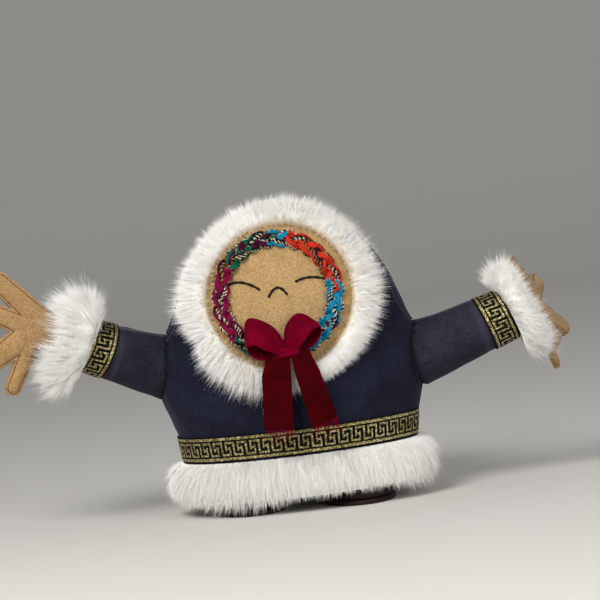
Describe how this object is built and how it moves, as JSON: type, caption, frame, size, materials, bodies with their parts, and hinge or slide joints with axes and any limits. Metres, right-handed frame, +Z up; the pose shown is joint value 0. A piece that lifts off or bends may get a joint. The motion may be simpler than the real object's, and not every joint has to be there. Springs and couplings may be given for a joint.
{
  "type": "fur-trimmed doll",
  "caption": "Stuffed felt-faced doll in a parka with fur at hood, cuffs and hem, woven ribbon bands, a braid, a ribbon bow, bending arms and hands, standing in leather boots.",
  "frame": {"origin": "on the ground the boots stand on, below the middle of the doll's width and depth", "axes": "+Z up, -Y is the way the face looks, +X is the doll's own left"},
  "size_m": [0.3566, 0.127, 0.1932],
  "materials": {
    "velveteen": "matte",
    "fur": "matte",
    "felt": "matte",
    "key_ribbon": "satin",
    "red_velvet": "satin",
    "braid_yarn": "matte",
    "thread": "matte",
    "boot_leather": "satin",
    "stuffing": "matte"
  },
  "bodies": {
    "torso": {"parka_front": "velveteen", "parka_back": "velveteen", "base_panel": "velveteen", "body_stuffing": "stuffing", "face": "felt", "right_eye_stitch": "thread", "left_eye_stitch": "thread", "nose_stitch": "thread", "face_braid": "braid_yarn", "hood_fur": "fur", "right_boot_sole": "boot_leather", "right_boot": "boot_leather", "left_boot_sole": "boot_leather", "left_boot": "boot_leather", "hem_fur": "fur", "hem_ribbon": "key_ribbon", "bow_knot": "red_velvet", "bow_right_loop": "red_velvet", "bow_left_loop": "red_velvet"},
    "right_tail": {"bow_right_tail": "red_velvet"},
    "left_tail": {"bow_left_tail": "red_velvet"},
    "right_shoulder": {"right_shoulder_wad": "stuffing"},
    "right_arm": {"right_sleeve": "velveteen", "right_arm_stuffing": "stuffing", "right_cuff_ribbon": "key_ribbon", "right_cuff_fur": "fur", "right_wrist_tab": "felt"},
    "right_hand": {"right_hand_front": "felt", "right_hand_back": "felt", "right_hand_stuffing": "stuffing"},
    "left_shoulder": {"left_shoulder_wad": "stuffing"},
    "left_arm": {"left_sleeve": "velveteen", "left_arm_stuffing": "stuffing", "left_cuff_ribbon": "key_ribbon", "left_cuff_fur": "fur", "left_wrist_tab": "felt"},
    "left_hand": {"left_hand_front": "felt", "left_hand_back": "felt", "left_hand_stuffing": "stuffing"}
  },
  "joints": [
    {"name": "right_shoulder_swing", "type": "hinge", "parent": "torso", "child": "right_shoulder", "pos_m": [-0.07283, 0.0054, 0.0974], "axis": [0, 0, 1], "range_deg": [-48, 18]},
    {"name": "right_arm_raise", "type": "hinge", "parent": "right_shoulder", "child": "right_arm", "pos_m": [-0.07283, 0.0054, 0.0974], "axis": [-0.342, 0.9397, 0], "range_deg": [-47, 23]},
    {"name": "right_wrist_flex", "type": "hinge", "parent": "right_arm", "child": "right_hand", "pos_m": [-0.12792, -0.01465, 0.11758], "axis": [0.3059, 0.1114, 0.9455], "range_deg": [-42, 42]},
    {"name": "left_shoulder_swing", "type": "hinge", "parent": "torso", "child": "left_shoulder", "pos_m": [0.09267, 0.0054, 0.0895], "axis": [0, 0, -1], "range_deg": [-25, 39]},
    {"name": "left_arm_raise", "type": "hinge", "parent": "left_shoulder", "child": "left_arm", "pos_m": [0.09267, 0.0054, 0.0895], "axis": [0.0523, -0.9986, 0], "range_deg": [-43, 26]},
    {"name": "left_wrist_flex", "type": "hinge", "parent": "left_arm", "child": "left_hand", "pos_m": [0.15778, 0.00881, 0.10697], "axis": [0.2585, 0.0135, -0.9659], "range_deg": [-4, 120]},
    {"name": "right_tail_swing", "type": "hinge", "parent": "torso", "child": "right_tail", "pos_m": [0.0073, -0.05809, 0.0925], "axis": [-1, 0, 0], "range_deg": [0, 65]},
    {"name": "left_tail_swing", "type": "hinge", "parent": "torso", "child": "left_tail", "pos_m": [0.0073, -0.05809, 0.0925], "axis": [-1, 0, 0], "range_deg": [0, 65]}
  ]
}
